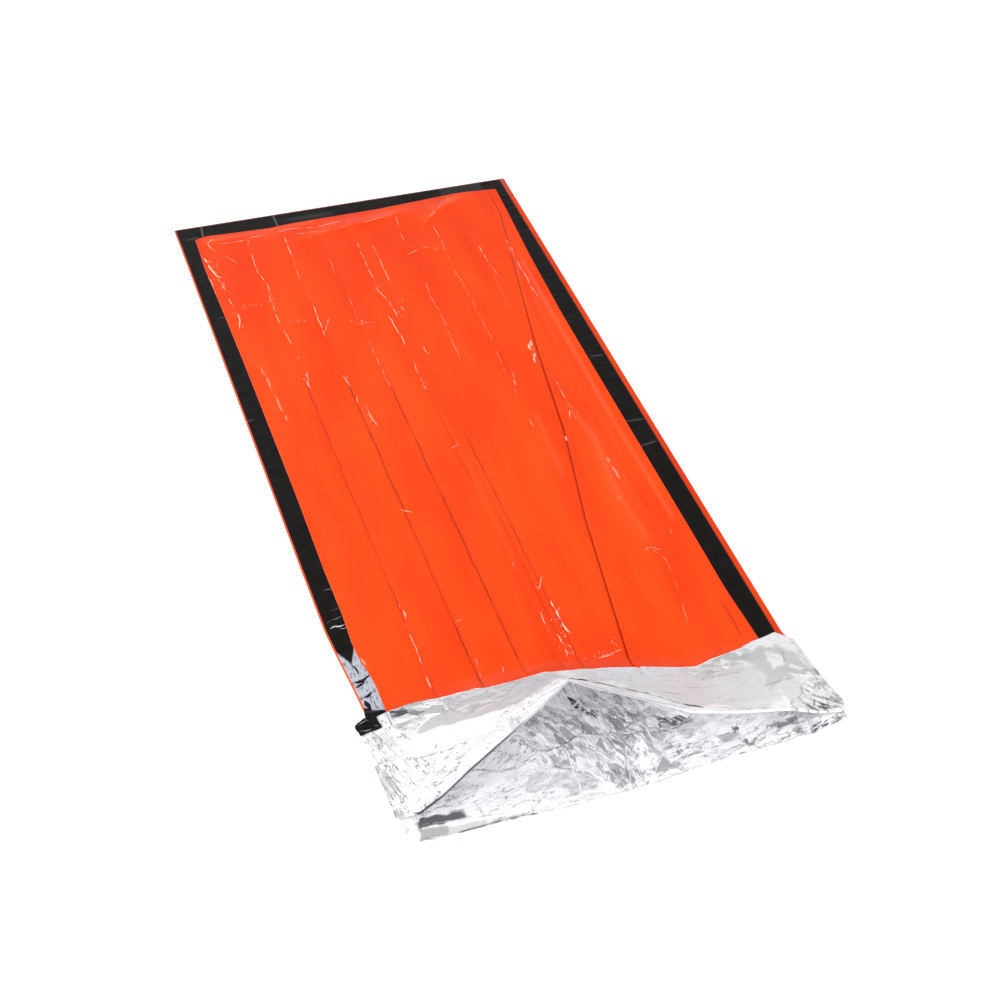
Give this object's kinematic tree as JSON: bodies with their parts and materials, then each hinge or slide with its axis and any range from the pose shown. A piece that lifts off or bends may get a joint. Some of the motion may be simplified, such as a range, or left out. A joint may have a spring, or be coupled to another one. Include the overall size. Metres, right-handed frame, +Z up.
{
  "type": "emergency sleeping bag",
  "caption": "Sleeping bag of thin orange film, silver inside, taped along its sides and foot, lying flat with the mouth turned back as a silver cuff that stands open in a low peak.",
  "frame": {"origin": "on the floor, midway across and along the whole bag", "axes": "+X across the bag, +Y from the mouth towards the foot end, +Z up from the floor"},
  "size_m": [0.9471, 2.1342, 0.198],
  "materials": {
    "orange_film": "thin orange plastic film, semi-gloss, with storage creases",
    "silver_film": "metallised film, bright and crinkled; the outside of the bottom film is orange",
    "black_tape": "glossy black adhesive tape, wrinkled along its length"
  },
  "bodies": {
    "root": {"bottom_film": "silver_film", "top_film": "orange_film", "left_tape": "black_tape", "right_tape": "black_tape", "foot_tape": "black_tape", "corner_tab": "black_tape"}
  },
  "joints": []
}
